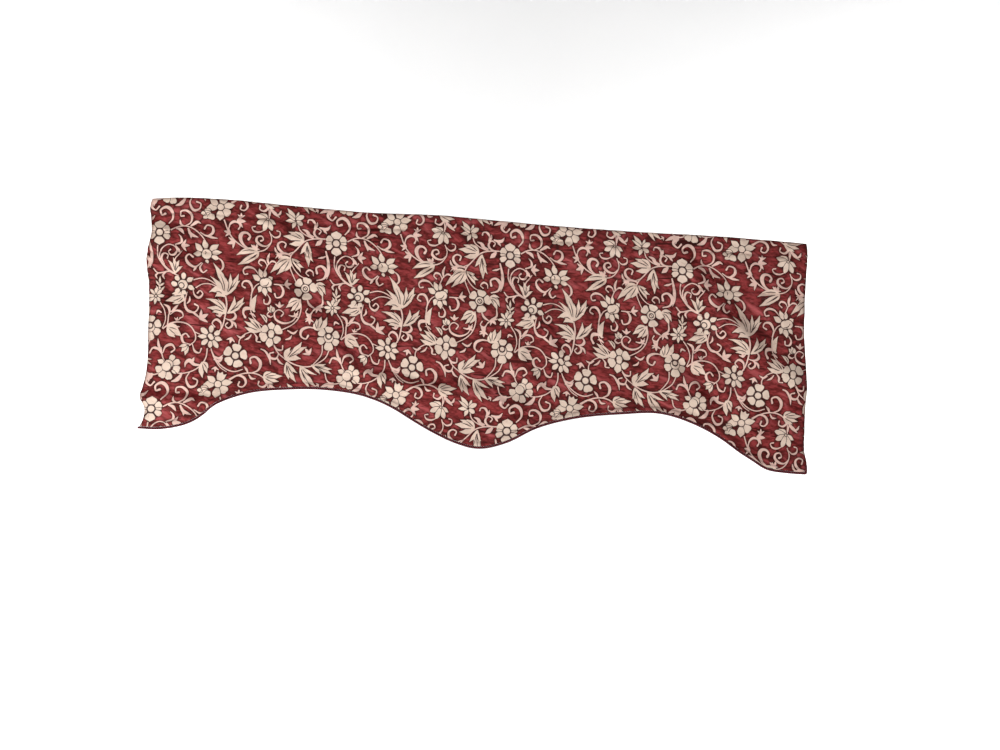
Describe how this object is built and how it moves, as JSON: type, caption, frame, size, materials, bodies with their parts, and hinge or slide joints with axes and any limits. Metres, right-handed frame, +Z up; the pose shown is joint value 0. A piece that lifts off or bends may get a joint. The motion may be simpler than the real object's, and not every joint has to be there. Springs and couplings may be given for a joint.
{
  "type": "window valance",
  "caption": "Scalloped window valance in figured floral cloth, with a header, a rod pocket and a twisted cord along the hem.",
  "frame": {"origin": "middle of the top edge of the cloth, where it is held up", "axes": "+X to the viewer's right along the top edge, +Y towards the window behind the cloth, +Z up"},
  "size_m": [1.3119, 0.029, 0.4563],
  "materials": {
    "figured_cloth": "crimson satin-backed weave with a soft sheen and fine crinkles",
    "cream_figure": "raised cream woven flowers, leaves and scrolls, outlined in dark thread",
    "twisted_cord": "twisted burgundy cord with a rose strand"
  },
  "bodies": {
    "root": {"valance_cloth": "figured_cloth", "hem_cord": "twisted_cord"}
  },
  "joints": []
}
